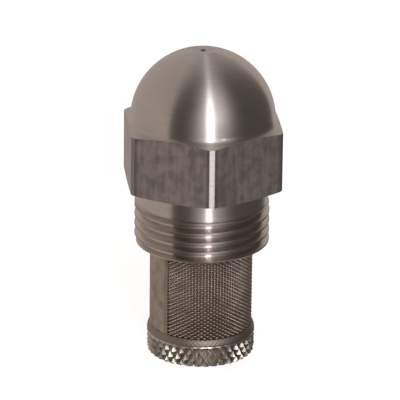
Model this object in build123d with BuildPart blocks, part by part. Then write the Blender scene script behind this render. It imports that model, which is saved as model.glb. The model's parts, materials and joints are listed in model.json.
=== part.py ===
from build123d import *
import math
import os

# Oil burner nozzle: a domed hexagon body with a threaded shank, its orifice, swirl distributor and
# lock screw inside, and a woven-wire strainer on a hand-turned knurled cap below.
# Millimetres. +Z runs along the axis towards the spray nose, the origin is the centre of the face
# it stands on, and two corners of the hexagon lie on the Y axis.

os.makedirs("parts", exist_ok=True)

# ---- Overall heights -----------------------------------------------------------------------------
shank_bottom = 12.30  # the end face that seals in the adapter
thread_top = 16.80
hex_bottom = 19.05
hex_top = 25.83

# ---- Nozzle body ---------------------------------------------------------------------------------
across_flats = 15.875  # a 5/8 in wrench
corner_radius = 9.0  # the bar's corners are turned down to this
corner_rise = 0.18  # how much higher the hexagon's lower edge is at its corners
corner_drop = 0.25  # and how much lower its upper edge is there
dome_radius = 7.65
shoulder_fillet = 0.60  # between the dome's foot and the shoulder at the corners
nose_flat_radius = 1.30
neck_radius = 6.95
neck_fillet = 0.25
neck_step = 0.12  # height of the small cone between thread and neck

# Adapter thread, 9/16-24 UNEF
thread_radius = 7.14
thread_pitch = 25.4 / 24
thread_depth = 0.58
thread_root_flat = 0.20
thread_crest_flat = 0.17
end_chamfer = 0.25
thread_root_height = 16.49  # of the last full root, where its groove begins to run out
run_out_angle = 20  # and how far round from +X that is
run_out_turn = 1 / 3  # how far round a thread's groove goes on after its last full turn
run_out_steps = 5
run_out_rise = 1.02  # how far the groove's root has risen there, as a share of its depth

# ---- Inner bore of the body ----------------------------------------------------------------------
bore_radius = 4.76  # holds the 3/8 in threads of the lock screw and the strainer stem
bore_top = 26.0
recess_radius = 5.60  # the strainer's upper end stands in this recess
recess_top = 13.00
seat_radius = 3.20  # holds the orifice insert
seat_bottom = 28.50
seat_top = 31.90
nose_hole_radius = 1.20
inner_thread_pitch = 25.4 / 32
inner_thread_depth = 0.40
inner_thread_clearance = 0.02
inner_thread_flat = 0.12

# ---- Orifice insert and distributor --------------------------------------------------------------
insert_bottom = 29.90
swirl_cone_radius = 2.50  # at the insert's lower face; the cone's side is at 45 degrees
orifice_radius = 0.125
orifice_exit_radius = 0.38
cone_gap = 0.05
distributor_bottom = 24.60
flange_radius = 4.40
flange_thickness = 1.00
column_radius = 2.20
head_radius = 3.15
head_bottom = 28.70
tip_radius = 0.50
feed_hole_radius = 0.55
feed_hole_circle = 3.20
feed_holes = 4
swirl_slots = 4
swirl_slot_width = 0.30
swirl_slot_depth = 0.25
flute_width = 0.90
flute_depth = 0.75

# ---- Lock screw ----------------------------------------------------------------------------------
screw_bottom = 19.60
screw_bore_radius = 2.20
screw_counterbore_radius = 3.90
screw_counterbore_depth = 0.80
blade_slot_width = 1.20
blade_slot_depth = 1.40
screw_gap = 0.05
screw_chamfer = 0.35

# ---- Strainer ------------------------------------------------------------------------------------
stem_top = 17.00
stem_seat_radius = 4.20  # the collar is pressed on here
barrel_radius = 3.40
barrel_bottom = 5.60
rod_radius = 1.70
tenon_radius = 1.10
stake_radius = 1.70
stake_bottom = 0.25
stake_chamfer = 0.15
spigot_chamfer = 0.35
stem_bore_radius = 1.60
stem_bore_bottom = 6.60
port_radius = 0.80
port_height = 9.20
ports = 4
collar_bottom = 11.60
collar_top = 12.95
screen_radius = 5.45
screen_thickness = 0.32
screen_bottom = 1.00
screen_top = 12.90

# ---- Knurled end cap -----------------------------------------------------------------------------
cap_radius = 5.75
lip_top = 3.07
lip_start = 2.30  # the rolled lip begins to curve in here
cap_floor_top = 2.00
cap_web_top = 1.50
cap_recess_radius = 2.60
cap_recess_depth = 0.60
cap_chamfer = 0.15

overshoot = 1.0  # how far a cut runs on past the face it opens
apothem = across_flats / 2
shoulder_slope = corner_drop / (corner_radius - apothem)
dome_centre = hex_top + shoulder_slope * (apothem - dome_radius)
nose_height = dome_centre + math.sqrt(dome_radius**2 - nose_flat_radius**2)
inner_thread_radius = bore_radius - inner_thread_clearance
screen_bore_radius = screen_radius - screen_thickness


def thread_cutter(radius, pitch, depth, root_flat, crest_flat, low, high):
    """A right-hand helical groove of 60-degree form. It starts at least a turn below the height low,
    and from the height high, at run_out_angle from +X, it runs out over part of a turn."""
    root_half = root_flat / 2
    slope = ((pitch - crest_flat) / 2 - root_half) / depth
    proud = crest_flat / slope / 4  # the cutter stands out past the crests, but its turns stay apart
    outer_half = root_half + slope * (depth + proud)
    turns = math.ceil((high - low) / pitch) + 1
    start = high - turns * pitch
    with BuildPart() as cutter:
        with BuildLine() as path:
            Helix(pitch=pitch, height=high - start, radius=radius, center=(0, 0, start))
        with BuildSketch(Plane.XZ) as groove:
            with BuildLine():
                Polyline(
                    (radius - depth, start - root_half),
                    (radius - depth, start + root_half),
                    (radius + proud, start + outer_half),
                    (radius + proud, start - outer_half),
                    close=True,
                )
            make_face()
        sweep(path=path.wires()[0], is_frenet=True)
        for step in range(run_out_steps + 1):
            share = step / run_out_steps
            turn = run_out_turn * share
            lift = run_out_rise * depth * share**2
            angle = 360 * turn
            radial = Vector(1, 0, 0).rotate(Axis.Z, angle)
            along = Vector(0, 1, 0).rotate(Axis.Z, angle)
            centre = radial * (radius - depth + lift) + Vector(0, 0, high + pitch * turn)
            with BuildSketch(Plane(origin=centre, x_dir=radial, z_dir=-along)):
                with BuildLine():
                    Polyline(
                        (0, -root_half),
                        (0, root_half),
                        (depth + proud, outer_half),
                        (depth + proud, -outer_half),
                        close=True,
                    )
                make_face()
        loft()
    return cutter.part.rotate(Axis.Z, run_out_angle)


# ---- Nozzle body: one bar turned, threaded and bored ---------------------------------------------
with BuildPart() as nozzle_body:
    with BuildSketch(Plane.XZ) as turned_outline:
        with BuildLine() as turned_line:
            below = Polyline(
                (0, shank_bottom),
                (thread_radius - end_chamfer, shank_bottom),
                (thread_radius, shank_bottom + end_chamfer),
                (thread_radius, thread_top),
                (neck_radius, thread_top + neck_step),
                (neck_radius, hex_bottom - neck_fillet),
            )
            underside = RadiusArc(
                below @ 1, (neck_radius + neck_fillet, hex_bottom), neck_fillet
            )
            hexagon_edge = Polyline(
                underside @ 1,
                (apothem, hex_bottom),
                (corner_radius, hex_bottom + corner_rise),
                (corner_radius, hex_top - corner_drop),
                (dome_radius, dome_centre),
            )
            dome = RadiusArc(
                hexagon_edge @ 1, (nose_flat_radius, nose_height), -dome_radius
            )
            Polyline(dome @ 1, (0, nose_height), (0, shank_bottom))
        make_face()
        dome_foot = turned_outline.vertices().sort_by_distance(dome @ 0)[0]
        fillet(dome_foot, shoulder_fillet)
    revolve(axis=Axis.Z)
    with BuildSketch(Plane.XY.offset(shank_bottom - overshoot)):
        RegularPolygon(apothem, 6, major_radius=False, rotation=30)
    extrude(amount=nose_height - shank_bottom + 2 * overshoot, mode=Mode.INTERSECT)
    with BuildSketch(Plane.XZ) as bored_outline:
        with BuildLine():
            Polyline(
                (0, shank_bottom - overshoot),
                (recess_radius, shank_bottom - overshoot),
                (recess_radius, recess_top),
                (bore_radius, recess_top),
                (bore_radius, bore_top),
                (seat_radius, seat_bottom),
                (seat_radius, seat_top),
                (nose_hole_radius, seat_top),
                (nose_hole_radius, nose_height + overshoot),
                (0, nose_height + overshoot),
                close=True,
            )
        make_face()
    revolve(axis=Axis.Z, mode=Mode.SUBTRACT)
    add(
        thread_cutter(
            thread_radius,
            thread_pitch,
            thread_depth,
            thread_root_flat,
            thread_crest_flat,
            shank_bottom,
            thread_root_height,
        ),
        mode=Mode.SUBTRACT,
    )

# ---- Orifice insert: pressed in from behind, with the swirl chamber's cone and the orifice -------
with BuildPart() as orifice_insert:
    with BuildSketch(Plane.XZ) as insert_outline:
        with BuildLine():
            cone_top = insert_bottom + swirl_cone_radius - orifice_radius
            exit_depth = orifice_exit_radius - orifice_radius
            Polyline(
                (swirl_cone_radius, insert_bottom),
                (seat_radius, insert_bottom),
                (seat_radius, seat_top),
                (nose_hole_radius, seat_top),
                (nose_hole_radius, nose_height),
                (orifice_exit_radius, nose_height),
                (orifice_radius, nose_height - exit_depth),
                (orifice_radius, cone_top),
                close=True,
            )
        make_face()
    revolve(axis=Axis.Z)

# ---- Distributor: a cone with swirl slots on a fluted head, a column and a drilled flange --------
with BuildPart() as distributor:
    with BuildSketch(Plane.XZ) as distributor_outline:
        with BuildLine():
            head_top = insert_bottom - cone_gap
            slant_gap = cone_gap * math.sqrt(2)
            cone_foot_radius = swirl_cone_radius + cone_gap - slant_gap
            tip_height = head_top + cone_foot_radius - tip_radius
            flange_top = distributor_bottom + flange_thickness
            Polyline(
                (0, distributor_bottom),
                (flange_radius, distributor_bottom),
                (flange_radius, flange_top),
                (column_radius, flange_top),
                (column_radius, head_bottom),
                (head_radius, head_bottom),
                (head_radius, head_top),
                (cone_foot_radius, head_top),
                (tip_radius, tip_height),
                (0, tip_height),
                close=True,
            )
        make_face()
    revolve(axis=Axis.Z)
    with Locations((0, 0, flange_top)):
        with PolarLocations(feed_hole_circle, feed_holes):
            Hole(feed_hole_radius, depth=flange_thickness)
    with BuildSketch(Plane.XY.offset(head_bottom)) as flutes:
        with PolarLocations(head_radius - flute_depth / 2, swirl_slots):
            Rectangle(flute_depth, flute_width)
    extrude(amount=head_top - head_bottom, mode=Mode.SUBTRACT)
    for slot in range(swirl_slots):
        outward = Vector(1, 0, 0).rotate(Axis.Z, 360 * slot / swirl_slots)
        sideways = Vector(0, 1, 0).rotate(Axis.Z, 360 * slot / swirl_slots)
        down_the_cone = (outward - Vector(0, 0, 1)).normalized()
        tip_edge = outward * tip_radius + Vector(0, 0, tip_height)
        slot_centre = tip_edge + sideways * (tip_radius - swirl_slot_width / 2)
        with BuildSketch(Plane(origin=slot_centre, x_dir=sideways, z_dir=down_the_cone)):
            Rectangle(swirl_slot_width, 2 * swirl_slot_depth)
        extrude(amount=2 * (cone_foot_radius - tip_radius), both=True, mode=Mode.SUBTRACT)

# ---- Lock screw: holds the distributor up, with a bore for the oil and a slot for the driver -----
with BuildPart() as lock_screw:
    with BuildSketch(Plane.XZ) as screw_outline:
        with BuildLine():
            screw_top = distributor_bottom - screw_gap
            Polyline(
                (screw_bore_radius, screw_bottom),
                (inner_thread_radius - screw_chamfer, screw_bottom),
                (inner_thread_radius, screw_bottom + screw_chamfer),
                (inner_thread_radius, screw_top - screw_chamfer),
                (inner_thread_radius - screw_chamfer, screw_top),
                (screw_counterbore_radius, screw_top),
                (screw_counterbore_radius, screw_top - screw_counterbore_depth),
                (screw_bore_radius, screw_top - screw_counterbore_depth),
                close=True,
            )
        make_face()
    revolve(axis=Axis.Z)
    with BuildSketch(Plane.XY.offset(screw_bottom)) as blade_slot:
        Rectangle(2 * bore_radius, blade_slot_width)
    extrude(amount=blade_slot_depth, mode=Mode.SUBTRACT)
    add(
        thread_cutter(
            inner_thread_radius,
            inner_thread_pitch,
            inner_thread_depth,
            inner_thread_flat,
            inner_thread_flat,
            screw_bottom,
            screw_top - screw_chamfer - inner_thread_pitch,
        ),
        mode=Mode.SUBTRACT,
    )

# ---- Strainer stem: threaded spigot, ported barrel, and a rod staked through the cap -------------
with BuildPart() as strainer_stem:
    with BuildSketch(Plane.XZ) as stem_outline:
        with BuildLine():
            stake_top = cap_recess_depth
            Polyline(
                (0, stake_bottom),
                (stake_radius - stake_chamfer, stake_bottom),
                (stake_radius, stake_bottom + stake_chamfer),
                (stake_radius, stake_top),
                (tenon_radius, stake_top),
                (tenon_radius, cap_web_top),
                (rod_radius, cap_web_top),
                (rod_radius, barrel_bottom),
                (barrel_radius, barrel_bottom),
                (barrel_radius, collar_bottom),
                (stem_seat_radius, collar_bottom),
                (stem_seat_radius, collar_top),
                (inner_thread_radius, collar_top),
                (inner_thread_radius, stem_top - spigot_chamfer),
                (inner_thread_radius - spigot_chamfer, stem_top),
                (0, stem_top),
                close=True,
            )
        make_face()
    revolve(axis=Axis.Z)
    with Locations((0, 0, stem_top)):
        Hole(stem_bore_radius, depth=stem_top - stem_bore_bottom)
    for port in range(ports // 2):
        across = Vector(1, 0, 0).rotate(Axis.Z, 45 + 180 * port / (ports // 2))
        with BuildSketch(Plane(origin=(0, 0, port_height), z_dir=across)):
            Circle(port_radius)
        extrude(amount=barrel_radius + overshoot, both=True, mode=Mode.SUBTRACT)
    add(
        thread_cutter(
            inner_thread_radius,
            inner_thread_pitch,
            inner_thread_depth,
            inner_thread_flat,
            inner_thread_flat,
            collar_top + inner_thread_pitch,
            stem_top - spigot_chamfer - inner_thread_pitch,
        ),
        mode=Mode.SUBTRACT,
    )

# ---- Screen collar: pressed on the stem, the upper end of the screen is soldered round it --------
with BuildPart() as screen_collar:
    with BuildSketch(Plane.XY.offset(collar_bottom)):
        Circle(screen_bore_radius)
        Circle(stem_seat_radius, mode=Mode.SUBTRACT)
    extrude(amount=collar_top - collar_bottom)

# ---- Strainer screen: the woven wire as a thin closed tube ---------------------------------------
with BuildPart() as strainer_screen:
    with BuildSketch(Plane.XY.offset(screen_bottom)):
        Circle(screen_radius)
        Circle(screen_bore_radius, mode=Mode.SUBTRACT)
    extrude(amount=screen_top - screen_bottom)

# ---- End cap: a shallow cup whose rolled lip grips the screen ------------------------------------
with BuildPart() as end_cap:
    with BuildSketch(Plane.XZ) as cap_outline:
        with BuildLine():
            outside = Polyline(
                (tenon_radius, cap_web_top),
                (tenon_radius, cap_recess_depth),
                (cap_recess_radius, cap_recess_depth),
                (cap_recess_radius, 0),
                (cap_radius - cap_chamfer, 0),
                (cap_radius, cap_chamfer),
                (cap_radius, lip_start),
            )
            EllipticalCenterArc(
                (screen_radius, lip_start),
                cap_radius - screen_radius,
                lip_top - lip_start,
                start_angle=0,
                arc_size=90,
            )
            Polyline(
                (screen_radius, lip_top),
                (screen_radius, screen_bottom),
                (screen_bore_radius, screen_bottom),
                (screen_bore_radius, cap_floor_top),
                (rod_radius, cap_floor_top),
                (rod_radius, cap_web_top),
                (tenon_radius, cap_web_top),
            )
        make_face()
    revolve(axis=Axis.Z)

# ---- Labels and files ----------------------------------------------------------------------------
pieces = {
    "nozzle_body": nozzle_body,
    "orifice_insert": orifice_insert,
    "distributor": distributor,
    "lock_screw": lock_screw,
    "strainer_stem": strainer_stem,
    "screen_collar": screen_collar,
    "strainer_screen": strainer_screen,
    "end_cap": end_cap,
}
for name, piece in pieces.items():
    piece.part.label = name
    export_step(piece.part, f"parts/{name}.step")
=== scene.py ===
import json
import math
import bpy
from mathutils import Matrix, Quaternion, Vector


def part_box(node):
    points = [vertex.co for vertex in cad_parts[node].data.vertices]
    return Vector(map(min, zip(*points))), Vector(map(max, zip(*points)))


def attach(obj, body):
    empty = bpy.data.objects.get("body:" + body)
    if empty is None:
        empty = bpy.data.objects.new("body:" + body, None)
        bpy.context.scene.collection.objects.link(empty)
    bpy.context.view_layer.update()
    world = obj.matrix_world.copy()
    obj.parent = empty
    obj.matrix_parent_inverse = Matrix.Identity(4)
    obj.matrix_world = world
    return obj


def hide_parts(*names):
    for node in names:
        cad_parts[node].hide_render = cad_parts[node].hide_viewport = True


# Oil burner nozzle: stainless body, woven-wire strainer and knurled end cap, on a pale floor.
# Metres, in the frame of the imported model: +Z runs along the axis towards the spray nose.

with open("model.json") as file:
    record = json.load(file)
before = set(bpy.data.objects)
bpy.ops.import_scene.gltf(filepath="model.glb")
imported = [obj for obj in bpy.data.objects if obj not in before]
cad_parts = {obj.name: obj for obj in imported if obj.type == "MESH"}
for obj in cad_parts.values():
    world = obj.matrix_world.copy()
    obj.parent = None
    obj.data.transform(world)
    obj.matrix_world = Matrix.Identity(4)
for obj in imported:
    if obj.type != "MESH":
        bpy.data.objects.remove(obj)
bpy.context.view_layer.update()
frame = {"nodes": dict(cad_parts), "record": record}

MM = 0.001
body_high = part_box("nozzle_body")[1]
cap_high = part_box("end_cap")[1]
screen_low, screen_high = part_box("strainer_screen")
apothem = body_high.x
corner_radius = body_high.y
cap_radius = cap_high.x
screen_radius = screen_high.x
lip_top = cap_high.z


# ---- Node helpers --------------------------------------------------------------------------------
class Graph:
    """Short calls that add nodes to one node tree."""

    def __init__(self, tree):
        self.tree = tree
        tree.nodes.clear()

    def add(self, kind, **settings):
        node = self.tree.nodes.new(kind)
        for name, value in settings.items():
            setattr(node, name, value)
        return node

    def put(self, socket, value):
        """Links value to socket if it is another socket, and else sets it there."""
        if isinstance(value, bpy.types.NodeSocket):
            self.tree.links.new(value, socket)
        else:
            socket.default_value = value

    def math(self, operation, *values):
        node = self.add("ShaderNodeMath", operation=operation)
        for socket, value in zip(node.inputs, values):
            self.put(socket, value)
        return node.outputs[0]

    def ramp(self, value, low, high, to_low=0.0, to_high=1.0):
        """value carried smoothly from between low and high to between to_low and to_high."""
        node = self.add("ShaderNodeMapRange", interpolation_type="SMOOTHSTEP")
        for socket, number in zip(node.inputs, (value, low, high, to_low, to_high)):
            self.put(socket, number)
        return node.outputs[0]

    def dot(self, vector, direction):
        node = self.add("ShaderNodeVectorMath", operation="DOT_PRODUCT")
        self.put(node.inputs[0], vector)
        node.inputs[1].default_value = direction
        return node.outputs["Value"]

    def stretch(self, vector, factors):
        node = self.add("ShaderNodeVectorMath", operation="MULTIPLY")
        self.put(node.inputs[0], vector)
        node.inputs[1].default_value = factors
        return node.outputs[0]

    def noise(self, vector, size, detail=4.0, roughness=0.55):
        """Noise from 0 to 1 whose largest features are about size metres across."""
        node = self.add("ShaderNodeTexNoise")
        self.put(node.inputs["Vector"], vector)
        node.inputs["Scale"].default_value = 1 / size
        node.inputs["Detail"].default_value = detail
        node.inputs["Roughness"].default_value = roughness
        return node.outputs["Fac"]

    def line_noise(self, value, size):
        """The same along one number only, so it draws lines."""
        node = self.add("ShaderNodeTexNoise", noise_dimensions="1D")
        self.put(node.inputs["W"], value)
        node.inputs["Scale"].default_value = 1 / size
        node.inputs["Detail"].default_value = 4.0
        node.inputs["Roughness"].default_value = 0.7
        return node.outputs["Fac"]

    def blend(self, factor, first, second):
        """A number between two numbers or sockets."""
        node = self.add("ShaderNodeMix", data_type="FLOAT")
        self.put(node.inputs[0], factor)
        self.put(node.inputs[2], first)
        self.put(node.inputs[3], second)
        return node.outputs[0]

    def mix(self, factor, first, second):
        """A colour between two colours or sockets."""
        node = self.add("ShaderNodeMix", data_type="RGBA")
        self.put(node.inputs[0], factor)
        self.put(node.inputs[6], first)
        self.put(node.inputs[7], second)
        return node.outputs[2]

    def bump(self, height, distance, under=None):
        node = self.add("ShaderNodeBump")
        node.inputs["Strength"].default_value = 1.0
        node.inputs["Distance"].default_value = distance
        self.put(node.inputs["Height"], height)
        if under is not None:
            self.put(node.inputs["Normal"], under)
        return node.outputs[0]


def shade(color, factor):
    return (color[0] * factor, color[1] * factor, color[2] * factor, 1.0)


class Turned:
    """The coordinates that the finishes of a turned piece are drawn in."""

    def __init__(self, graph):
        self.place = graph.add("ShaderNodeTexCoord").outputs["Object"]
        split = graph.add("ShaderNodeSeparateXYZ")
        graph.put(split.inputs[0], self.place)
        x, y, self.z = split.outputs
        squares = [graph.math("MULTIPLY", value, value) for value in (x, y)]
        self.radius = graph.math("SQRT", graph.math("ADD", *squares))
        self.profile = graph.math("SUBTRACT", self.z, self.radius)  # grows along the outline
        around = graph.add("ShaderNodeCombineXYZ")
        graph.put(around.inputs[0], graph.math("MULTIPLY", y, -1.0))
        graph.put(around.inputs[1], x)
        self.around = around.outputs[0]  # the direction of the tool marks


def metal(name, anisotropic=0.0):
    """A Principled metal: its material, its graph, its turned coordinates and its shader."""
    material = bpy.data.materials.new(name)
    material.use_nodes = True
    graph = Graph(material.node_tree)
    shader = graph.add("ShaderNodeBsdfPrincipled")
    shader.inputs["Metallic"].default_value = 1.0
    shader.inputs["Anisotropic"].default_value = anisotropic
    output = graph.add("ShaderNodeOutputMaterial")
    graph.put(output.inputs["Surface"], shader.outputs[0])
    coords = Turned(graph)
    if anisotropic:
        shader.inputs["Anisotropic Rotation"].default_value = 0.25  # across the tool marks
        graph.put(shader.inputs["Tangent"], coords.around)
    return material, graph, coords, shader


# ---- Metals --------------------------------------------------------------------------------------
STEEL = (0.60, 0.515, 0.465)
BAR_SKIN = (0.50, 0.405, 0.372)
HARD_STEEL = (0.50, 0.45, 0.42)
BRASS = (0.78, 0.57, 0.29)
WIRE = (0.46, 0.355, 0.29)
# the groove colour below is painted shade for the knurl's grooves
KNURL_GROOVE_SHADE = (0.40, 0.33, 0.27)
KNURL_CREST = (0.64, 0.56, 0.48)
LATHE_LINES = 0.30 * MM  # apart
HEXAGON_FOOT = 19.0 * MM
THREAD_TOP = 16.8 * MM
THREAD_CREST = 7.12 * MM  # the radius that the crests lie outside
THREAD_ROUGH, NECK_ROUGH = 0.24, 0.31
CREST_ROUGH = 0.62  # worn where the adapter's thread has rubbed
LAND_DARKENING = 0.50  # the hexagon's corners are darker than the rest of the turned surface
FLAT_METALLIC = 0.72  # the skin scatters some of the light


def stainless_body():
    """Turned all over but for the hexagon's flats, which keep the drawn bar's dull skin."""
    material, graph, at, shader = metal("stainless_body", anisotropic=0.97)
    reach = 0.0
    for angle in (0, math.pi / 3, 2 * math.pi / 3):
        towards_flat = graph.dot(at.place, (math.cos(angle), math.sin(angle), 0))
        reach = graph.math("MAXIMUM", reach, graph.math("ABSOLUTE", towards_flat))
    flat = graph.math("GREATER_THAN", reach, apothem - 0.01 * MM)
    rings = graph.line_noise(at.profile, LATHE_LINES)
    smears = graph.noise(graph.stretch(at.place, (1, 1, 2.5)), 2.4 * MM)
    streaks = graph.noise(graph.stretch(at.place, (1, 1, 0.12)), 0.45 * MM)
    blotches = graph.noise(at.place, 1.3 * MM, detail=5.0, roughness=0.6)
    skin = graph.math(
        "ADD", graph.math("MULTIPLY", streaks, 0.4), graph.math("MULTIPLY", blotches, 0.6)
    )

    below_hexagon = graph.math("LESS_THAN", at.z, HEXAGON_FOOT)
    dome_rough = graph.ramp(rings, 0.3, 0.7, 0.31, 0.37)
    neck_foot = (THREAD_TOP - 0.1 * MM, THREAD_TOP + 0.2 * MM)
    shank_rough = graph.ramp(at.z, *neck_foot, THREAD_ROUGH, NECK_ROUGH)
    crest = graph.math("GREATER_THAN", at.radius, THREAD_CREST)
    shank_rough = graph.blend(crest, shank_rough, CREST_ROUGH)
    turned_rough = graph.blend(below_hexagon, dome_rough, shank_rough)
    flat_rough = graph.ramp(skin, 0.35, 0.65, 0.42, 0.52)
    graph.put(shader.inputs["Roughness"], graph.blend(flat, turned_rough, flat_rough))
    graph.put(shader.inputs["Metallic"], graph.blend(flat, 1.0, FLAT_METALLIC))

    ringed = graph.mix(graph.ramp(rings, 0.35, 0.65), shade(STEEL, 0.96), shade(STEEL, 1.03))
    smeared = graph.mix(graph.ramp(smears, 0.5, 0.7, 0.0, 0.35), ringed, shade(STEEL, 0.8))
    land = graph.math("GREATER_THAN", at.radius, corner_radius - 0.02 * MM)
    turned_color = graph.mix(land, smeared, shade(STEEL, LAND_DARKENING))
    mottled = graph.mix(graph.ramp(skin, 0.38, 0.62), shade(BAR_SKIN, 0.74), shade(BAR_SKIN, 1.2))
    # painted shade: the flats darken in a strip along their edges next to the corner lands
    beside_land = (corner_radius - 0.22 * MM, corner_radius - 0.08 * MM)
    painted_edge_shade = graph.ramp(at.radius, *beside_land, 0.0, 0.5)
    flat_color = graph.mix(painted_edge_shade, mottled, shade(BAR_SKIN, 0.35))
    graph.put(shader.inputs["Base Color"], graph.mix(flat, turned_color, flat_color))

    lathe_marks = graph.bump(rings, 0.0009 * MM)
    flat_height = graph.math("MULTIPLY", flat, skin)
    graph.put(shader.inputs["Normal"], graph.bump(flat_height, 0.02 * MM, under=lathe_marks))
    return material


def turned_metal(name, color, roughness):
    """A plain turned finish, for the pieces inside."""
    material, graph, at, shader = metal(name, anisotropic=0.6)
    stain = graph.noise(at.place, 2.5 * MM, detail=3.0)
    rough = graph.ramp(stain, 0.3, 0.7, roughness * 0.9, roughness * 1.2)
    graph.put(shader.inputs["Roughness"], rough)
    stained = graph.mix(graph.ramp(stain, 0.35, 0.7), shade(color, 1.02), shade(color, 0.88))
    graph.put(shader.inputs["Base Color"], stained)
    rings = graph.line_noise(at.profile, LATHE_LINES)
    graph.put(shader.inputs["Normal"], graph.bump(rings, 0.001 * MM))
    return material


def screen_wire():
    """Drawn wire, dulled by handling, with a painted shade on the cap's lip, where it is duller
    too.
    """
    material, graph, at, shader = metal("screen_wire")
    dull = graph.noise(at.place, 1.2 * MM)
    on_lip = graph.ramp(at.z, lip_top - 0.05 * MM, lip_top + 0.05 * MM, 1.0, 0.0)
    wire_rough = graph.ramp(dull, 0.3, 0.7, 0.42, 0.54)
    graph.put(shader.inputs["Roughness"], graph.blend(on_lip, wire_rough, 0.52))
    wire_color = graph.mix(graph.ramp(dull, 0.35, 0.7), shade(WIRE, 1.05), shade(WIRE, 0.8))
    # painted shade: the wire's colour is darker on the lip
    graph.put(shader.inputs["Base Color"], graph.mix(on_lip, wire_color, shade(WIRE, 0.72)))
    return material


def cap_steel():
    """Bright on the knurl's crests, with painted shade down in its grooves."""
    material, graph, at, shader = metal("cap_steel")
    crest = graph.ramp(at.radius, cap_radius - 0.35 * MM, cap_radius)
    stain = graph.noise(at.place, 0.9 * MM)
    graph.put(shader.inputs["Roughness"], graph.ramp(stain, 0.3, 0.7, 0.28, 0.42))
    # painted shade: the colour darkens from the knurl's crests down into its grooves and the cap's
    # inner faces
    knurl_shaded_color = graph.mix(crest, shade(KNURL_GROOVE_SHADE, 1.0), shade(KNURL_CREST, 1.0))
    graph.put(shader.inputs["Base Color"], knurl_shaded_color)
    graph.put(shader.inputs["Normal"], graph.bump(stain, 0.01 * MM))
    return material


# ---- Mesh helpers --------------------------------------------------------------------------------
def make_piece(name, verts, faces, material, body, smooth=True):
    """A new mesh object, which rides on the body if one is named."""
    mesh = bpy.data.meshes.new(name)
    mesh.from_pydata(verts, [], faces)
    mesh.validate()
    mesh.update()
    mesh.polygons.foreach_set("use_smooth", [smooth] * len(mesh.polygons))
    mesh.materials.append(material)
    piece = bpy.data.objects.new(name, mesh)
    bpy.context.scene.collection.objects.link(piece)
    if body:
        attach(piece, body)
    return piece


def polar(radius, angle, height):
    return (radius * math.cos(angle), radius * math.sin(angle), height)


def grid_faces(rows, columns, start=0, ring=False):
    """Quads between rows of points, closed round each row, and for a ring from the last row to the
    first as well. Points go anticlockwise round a row and rows go up, seen from outside."""
    faces = []
    for row in range(rows if ring else rows - 1):
        low, high = start + row * columns, start + (row + 1) % rows * columns
        for column in range(columns):
            after = (column + 1) % columns
            faces.append((low + column, low + after, high + after, high + column))
    return faces


def bar_faces(rows, columns, start=0):
    """The same with a face over each end."""
    top = start + (rows - 1) * columns
    lower_end = tuple(reversed(range(start, start + columns)))
    upper_end = tuple(range(top, top + columns))
    return grid_faces(rows, columns, start) + [lower_end, upper_end]


# ---- Woven screen --------------------------------------------------------------------------------
UPRIGHT_WIRES = 98  # straight ones, that the level wires weave over and under
UPRIGHT_WIRE_RADIUS = 0.065 * MM
RING_WIRE_RADIUS = 0.096 * MM
PRESSED_IN = 0.045 * MM  # how far the level wires are pressed into the upright ones
RING_SPACING = 25.4 / 120 * MM
WIRE_SIDES = 6
WAVE_STEPS = 4  # points from one upright wire to the next
LAP_START, LAP_END = math.radians(-137), math.radians(-195)  # round from +X
LAP_SINK = 0.16 * MM  # how far the wires go in under the lap
waves = UPRIGHT_WIRES / 2  # of a level wire, round the screen
swing = UPRIGHT_WIRE_RADIUS + RING_WIRE_RADIUS - PRESSED_IN
weave_radius = screen_radius - swing - RING_WIRE_RADIUS
ring_count = int((screen_high.z - screen_low.z - 2 * RING_WIRE_RADIUS) / RING_SPACING)
first_ring = (screen_low.z + screen_high.z - (ring_count - 1) * RING_SPACING) / 2


def wire_reach(angle, side):
    """The radius a level wire runs at: out and in past the upright wires, and in under the lap."""
    sunk = LAP_END < -angle < LAP_START
    return weave_radius + swing * side * math.cos(angle * waves) - LAP_SINK * sunk


def ring_wires(name, side, first, material):
    """Every second level wire, all passing any one upright wire on the same side."""
    steps = UPRIGHT_WIRES * WAVE_STEPS
    verts, faces = [], []
    for ring in range(first, ring_count, 2):
        start = len(verts)
        height = first_ring + ring * RING_SPACING
        for step in range(steps):
            angle = 2 * math.pi * step / steps
            radius = wire_reach(angle, side)
            lean = math.atan(swing * side * waves * math.sin(angle * waves) / radius)
            for corner in range(WIRE_SIDES):
                turn = 2 * math.pi * corner / WIRE_SIDES
                out = RING_WIRE_RADIUS * math.cos(turn)
                reach = radius + out * math.cos(lean)
                along = angle + out * math.sin(lean) / reach
                verts.append(polar(reach, -along, height + RING_WIRE_RADIUS * math.sin(turn)))
        # each quad starts a corner on from the grid's, which picks the diagonal that splits it
        for quad in grid_faces(steps, WIRE_SIDES, start, ring=True):
            faces.append(quad[1:] + quad[:1])
    return make_piece(name, verts, faces, material, "strainer")


def upright_wires(name, material):
    """The straight wires, closed at both ends."""
    verts, faces = [], []
    low, high = screen_low.z + RING_WIRE_RADIUS, screen_high.z - RING_WIRE_RADIUS
    for wire in range(UPRIGHT_WIRES):
        angle = -2 * math.pi * wire / UPRIGHT_WIRES
        radius = weave_radius
        if LAP_END < angle < LAP_START:
            radius -= LAP_SINK
        start = len(verts)
        for height in (low, high):
            for corner in range(WIRE_SIDES):
                turn = 2 * math.pi * corner / WIRE_SIDES
                reach = radius + UPRIGHT_WIRE_RADIUS * math.cos(turn)
                across = UPRIGHT_WIRE_RADIUS * math.sin(turn) / reach
                verts.append(polar(reach, angle + across, height))
        faces.extend(bar_faces(2, WIRE_SIDES, start))
    return make_piece(name, verts, faces, material, "strainer")


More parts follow.
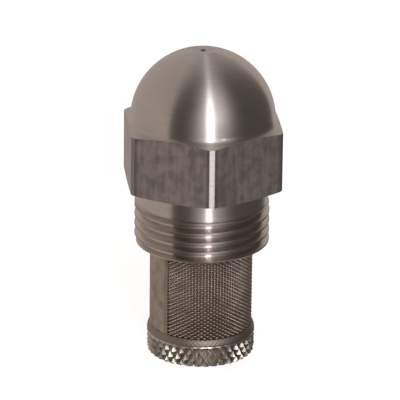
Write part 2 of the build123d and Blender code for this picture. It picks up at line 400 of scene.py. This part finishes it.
# ---- Lap of the screen, and its print on the lip -------------------------------------------------
LAP_RADIUS = screen_radius - 0.01 * MM
LAP_THICKNESS = 0.05 * MM
LAP_FOOT = 0.15 * MM  # how far the lap goes down behind the lip
LAP_ROWS = 40
RIDGES = 150  # round the whole screen, where the solder follows the wires
RIDGE_HEIGHT = 0.012 * MM
SWELLS = 27  # round the whole screen as well
SWELL_HEIGHT = 0.02 * MM
LAP_BEAD = 0.08 * MM  # height of the solder's bead beside the lap's edge
LAP_BEAD_PLACE = math.radians(4.0)
LAP_BEAD_WIDTH = math.radians(1.6)
LIP_START = 2.30 * MM
PRINT_STEPS = 4  # points from one ridge to the next
PRINT_ROWS = 10
PRINT_DEPTH = 0.05 * MM
PRINT_THICKNESS = 0.12 * MM


def lap_reach(angle):
    """The radius of the lap's outer side."""
    swell = RIDGE_HEIGHT * math.cos(angle * RIDGES) + SWELL_HEIGHT * math.cos(angle * SWELLS)
    from_bead = (LAP_START - LAP_BEAD_PLACE - angle) / LAP_BEAD_WIDTH
    return LAP_RADIUS + swell + LAP_BEAD * math.exp(-(from_bead**2))


def lap_strip(name, material):
    """The screen's lapped edge, flooded with solder: a thin strip with the wires' ridges in it."""
    columns = int((LAP_START - LAP_END) / (2 * math.pi) * RIDGES * PRINT_STEPS)
    low, high = lip_top - LAP_FOOT, screen_high.z
    angles = [LAP_END + (LAP_START - LAP_END) * column / columns for column in range(columns + 1)]
    verts = []
    for row in range(LAP_ROWS + 1):
        height = low + (high - low) * row / LAP_ROWS
        for angle in angles:
            verts.append(polar(lap_reach(angle), angle, height))
        for angle in reversed(angles):
            verts.append(polar(LAP_RADIUS - LAP_THICKNESS, angle, height))
    faces = bar_faces(LAP_ROWS + 1, 2 * len(angles))
    strip = make_piece(name, verts, faces, material, "strainer")
    strip.data.set_sharp_from_angle(angle=math.radians(50))
    return strip


def lip_point(share, depth):
    """The radius and height of a point on the rolled lip: so far round it, and so deep in it."""
    angle = math.pi / 2 * share
    radius = screen_radius + (cap_radius - screen_radius) * math.cos(angle)
    height = LIP_START + (lip_top - LIP_START) * math.sin(angle)
    return radius - depth * math.cos(angle), height - depth * math.sin(angle)


def printed_lip(name, material):
    """The skin of the rolled lip, with the weave pressed into it."""
    columns = RIDGES * PRINT_STEPS
    front = [(*lip_point(row / PRINT_ROWS, 0), row) for row in range(PRINT_ROWS + 1)]
    back = [(*lip_point(row / PRINT_ROWS, PRINT_THICKNESS), None) for row in range(PRINT_ROWS + 1)]
    outline = front + back[::-1]
    verts = []
    for radius, height, row in outline:
        for column in range(columns):
            depth = 0.0
            if row is not None:
                weave = math.cos(math.pi * column / PRINT_STEPS) * math.cos(math.pi * row / 2)
                depth = PRINT_DEPTH * (1 + weave) / 2
            verts.append(polar(radius - depth, 2 * math.pi * column / columns, height))
    faces = grid_faces(len(outline), columns, ring=True)
    return make_piece(name, verts, faces, material, "strainer")


# ---- Knurled end cap -----------------------------------------------------------------------------
KNURLS = 38
KNURL_HEIGHT = 1.44 * MM  # of one whole diamond
KNURL_DEPTH = 0.42 * MM
KNURL_TOP = 2.22 * MM
CREST_FLAT = 0.12  # the share of the depth that is left off the diamonds' points
HALF_STEPS = 4  # points along half a diamond, both ways
CAP_CHAMFER = 0.15 * MM
CHAMFER_CUT = 0.45  # the share of the knurl's depth that is cut at the chamfer
UNDER_PRINT = 0.06 * MM  # how deep the cap's own lip lies in the printed one
LIP_STEPS = 8
RECESS_RADIUS, RECESS_DEPTH = 2.60 * MM, 0.60 * MM
TENON_RADIUS, ROD_RADIUS = 1.10 * MM, 1.70 * MM
WEB_TOP, FLOOR_TOP = 1.50 * MM, 2.00 * MM
SCREEN_THICKNESS = 0.32 * MM


def knurl_depth(across, along):
    """How deep the knurl is at a point, given in diamonds across and along: its grooves cross."""
    nearest = 1.0
    for slant in (along + across, along - across):
        share = slant - math.floor(slant)
        nearest = min(nearest, 2 * min(share, 1 - share))
    return KNURL_DEPTH * (1 - CREST_FLAT - min(nearest, 1 - CREST_FLAT))


def cap_outline():
    """Radius, height, and how much of the knurl's depth is cut there, out and up from the tenon."""
    bore = screen_radius - SCREEN_THICKNESS
    foot = cap_radius - CAP_CHAMFER
    outline = [
        (TENON_RADIUS, WEB_TOP, 0),
        (TENON_RADIUS, RECESS_DEPTH, 0),
        (RECESS_RADIUS, RECESS_DEPTH, 0),
        (RECESS_RADIUS, 0, 0),
        (foot - 1.5 * CAP_CHAMFER, 0, 0),
        (foot, 0, CHAMFER_CUT),
    ]
    row_height = KNURL_HEIGHT / 2 / HALF_STEPS
    for row in range(1, int(KNURL_TOP / row_height) + 1):
        cut = (KNURL_TOP - row * row_height) / (2 * row_height)
        outline.append((cap_radius, row * row_height, min(1, max(0, cut))))
    outline += [(*lip_point(step / LIP_STEPS, UNDER_PRINT), 0) for step in range(LIP_STEPS + 1)]
    outline += [
        (screen_radius, screen_low.z, 0),
        (bore, screen_low.z, 0),
        (bore, FLOOR_TOP, 0),
        (ROD_RADIUS, FLOOR_TOP, 0),
        (ROD_RADIUS, WEB_TOP, 0),
    ]
    return outline


def knurled_cap(name, material):
    """The whole cap under its printed lip, turned from its outline, with the knurl cut in."""
    columns = KNURLS * 2 * HALF_STEPS
    outline = cap_outline()
    verts = []
    for radius, height, cut in outline:
        for column in range(columns):
            depth = cut * knurl_depth(column / (2 * HALF_STEPS), height / KNURL_HEIGHT)
            verts.append(polar(radius - depth, 2 * math.pi * column / columns, height))
    faces = grid_faces(len(outline), columns, ring=True)
    cap = make_piece(name, verts, faces, material, "strainer")
    cap.data.set_sharp_from_angle(angle=math.radians(24))
    return cap


# ---- Pieces and their finishes -------------------------------------------------------------------
finishes = {
    "stainless_body": stainless_body(),
    "hardened_steel": turned_metal("hardened_steel", HARD_STEEL, 0.22),
    "brass": turned_metal("brass", BRASS, 0.26),
    "screen_wire": screen_wire(),
    "cap_steel": cap_steel(),
}
for subpart in frame["record"]["subparts"]:
    node = frame["nodes"][subpart["node"]]
    node.data.materials.clear()
    node.data.materials.append(finishes[subpart["material_slot"]])

screen_pieces = [
    upright_wires("screen_uprights", finishes["screen_wire"]),
    ring_wires("screen_rings_a", 1, 0, finishes["screen_wire"]),
    ring_wires("screen_rings_b", -1, 1, finishes["screen_wire"]),
    lap_strip("screen_lap", finishes["screen_wire"]),
]
for piece in screen_pieces:
    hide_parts("strainer_screen")

end_cap = knurled_cap("knurled_end_cap", finishes["cap_steel"])
cap_lip = printed_lip("printed_lip", finishes["screen_wire"])
for piece in (end_cap, cap_lip):
    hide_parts("end_cap")


# ---- Floor ---------------------------------------------------------------------------------------
def pale_floor():
    """Seen by the camera only, so that the metal mirrors the studio's light and not the floor."""
    radius, segments, height = 0.9, 96, -0.02 * MM
    verts = [polar(radius, 2 * math.pi * point / segments, height) for point in range(segments)]
    material = bpy.data.materials.new("pale_floor")
    material.use_nodes = True
    graph = Graph(material.node_tree)
    shader = graph.add("ShaderNodeBsdfPrincipled")
    shader.inputs["Base Color"].default_value = (0.9, 0.9, 0.89, 1)
    shader.inputs["Roughness"].default_value = 0.9
    shader.inputs["Specular IOR Level"].default_value = 0.0
    shader.inputs["Emission Color"].default_value = (1, 1, 1, 1)
    shader.inputs["Emission Strength"].default_value = 0.70
    output = graph.add("ShaderNodeOutputMaterial")
    graph.put(output.inputs["Surface"], shader.outputs[0])
    face = tuple(range(segments))
    floor = make_piece("pale_floor", verts, [face], material, None, smooth=False)
    floor.visible_diffuse = False
    floor.visible_glossy = False
    floor.visible_shadow = False


pale_floor()

# ---- Camera --------------------------------------------------------------------------------------
VIEW_AZIMUTH = math.radians(-6.4)
VIEW_ELEVATION = math.radians(20.9)
VIEW_ROLL = 0.0115
VIEW_DISTANCE = 0.4
VIEW_LENS = 341.0  # millimetres, on a sensor 36 mm wide
AIM_HEIGHT = 16.77 * MM
AIM_LEFT = 0.2165 * MM


def around_object(azimuth, elevation):
    """The direction from the object that a camera or a light stands in, azimuth 0 being -Y."""
    level = math.cos(elevation)
    return Vector((math.sin(azimuth) * level, -math.cos(azimuth) * level, math.sin(elevation)))


def studio_camera():
    data = bpy.data.cameras.new("camera")
    data.lens = VIEW_LENS
    data.sensor_width = 36.0
    data.clip_start, data.clip_end = 0.01, 10.0
    camera = bpy.data.objects.new("camera", data)
    bpy.context.scene.collection.objects.link(camera)
    back = around_object(VIEW_AZIMUTH, VIEW_ELEVATION)
    right = Vector((math.cos(VIEW_AZIMUTH), math.sin(VIEW_AZIMUTH), 0))
    aim = Vector((0, 0, AIM_HEIGHT)) - right * AIM_LEFT
    camera.location = aim + back * VIEW_DISTANCE
    camera.rotation_mode = "QUATERNION"
    roll = Quaternion((0, 0, 1), VIEW_ROLL)
    camera.rotation_quaternion = (-back).to_track_quat("-Z", "Y") @ roll
    bpy.context.scene.camera = camera


studio_camera()


# ---- Light ---------------------------------------------------------------------------------------
KEY_AZIMUTH = math.radians(12.0)  # round from the camera
KEY_ELEVATION = math.radians(8.5)
KEY_WIDTH, KEY_HEIGHT, KEY_DISTANCE = 0.075, 0.48, 0.5
KEY_RADIANCE = 6.2
KEY_COLOR = (0.93, 1.0, 1.08)


def key_strip():
    """A tall narrow softbox that faces the middle of the object."""
    data = bpy.data.lights.new("key_strip", "AREA")
    data.shape = "RECTANGLE"
    data.size, data.size_y = KEY_WIDTH, KEY_HEIGHT
    data.energy = KEY_RADIANCE * math.pi * KEY_WIDTH * KEY_HEIGHT
    data.color = KEY_COLOR
    light = bpy.data.objects.new("key_strip", data)
    bpy.context.scene.collection.objects.link(light)
    out = around_object(VIEW_AZIMUTH + KEY_AZIMUTH, KEY_ELEVATION)
    light.location = Vector((0, 0, AIM_HEIGHT)) + out * KEY_DISTANCE
    light.rotation_mode = "QUATERNION"
    light.rotation_quaternion = (-out).to_track_quat("-Z", "Y")
    light.visible_camera = False


key_strip()

PALE_LEVEL = 0.50
DARK_LEVEL = 0.10
CARD_MIDDLE = math.radians(-138)  # round from the camera
CARD_COLOR = (1.0, 0.95, 0.91)
LAMP_COLOR = (0.95, 1.0, 1.07)
GLOWS = (  # azimuth from the camera, elevation, tightness, strength
    (5, -6, 20, 0.8),
    (21, 24, 15, 2.1),
    (175, 60, 12, 0.32),
)


def background(graph, color, strength):
    node = graph.add("ShaderNodeBackground")
    node.inputs["Color"].default_value = shade(color, 1.0)
    graph.put(node.inputs["Strength"], strength)
    return node.outputs[0]


def studio_world():
    """Pale cards stand behind and to the left, the right and the camera's side are dark, and soft
    lights glow beside the camera and behind the object. The backdrop itself is white."""
    world = bpy.data.worlds.new("studio")
    world.use_nodes = True
    bpy.context.scene.world = world
    graph = Graph(world.node_tree)
    toward = graph.add("ShaderNodeTexCoord").outputs["Generated"]
    side = graph.dot(toward, tuple(around_object(VIEW_AZIMUTH + CARD_MIDDLE, 0)))
    pale = graph.ramp(side, 0.06, 0.15, DARK_LEVEL, PALE_LEVEL)
    dimming = graph.ramp(graph.dot(toward, (0, 0, 1)), 0.3, 0.9, 1.04, 0.82)
    cards = background(graph, CARD_COLOR, graph.math("MULTIPLY", pale, dimming))
    glow = 0.0
    for azimuth, elevation, tightness, strength in GLOWS:
        centre = around_object(VIEW_AZIMUTH + math.radians(azimuth), math.radians(elevation))
        nearness = graph.math("SUBTRACT", graph.dot(toward, tuple(centre)), 1.0)
        spread = graph.math("EXPONENT", graph.math("MULTIPLY", nearness, tightness))
        glow = graph.math("ADD", glow, graph.math("MULTIPLY", spread, strength))
    lamps = background(graph, LAMP_COLOR, glow)
    studio = graph.add("ShaderNodeAddShader")
    graph.put(studio.inputs[0], cards)
    graph.put(studio.inputs[1], lamps)
    seen = graph.add("ShaderNodeMixShader")
    graph.put(seen.inputs[0], graph.add("ShaderNodeLightPath").outputs["Is Camera Ray"])
    graph.put(seen.inputs[1], studio.outputs[0])
    graph.put(seen.inputs[2], background(graph, (1, 1, 1), 1.0))
    output = graph.add("ShaderNodeOutputWorld")
    graph.put(output.inputs["Surface"], seen.outputs[0])


studio_world()
bpy.context.scene.view_settings.view_transform = "Standard"
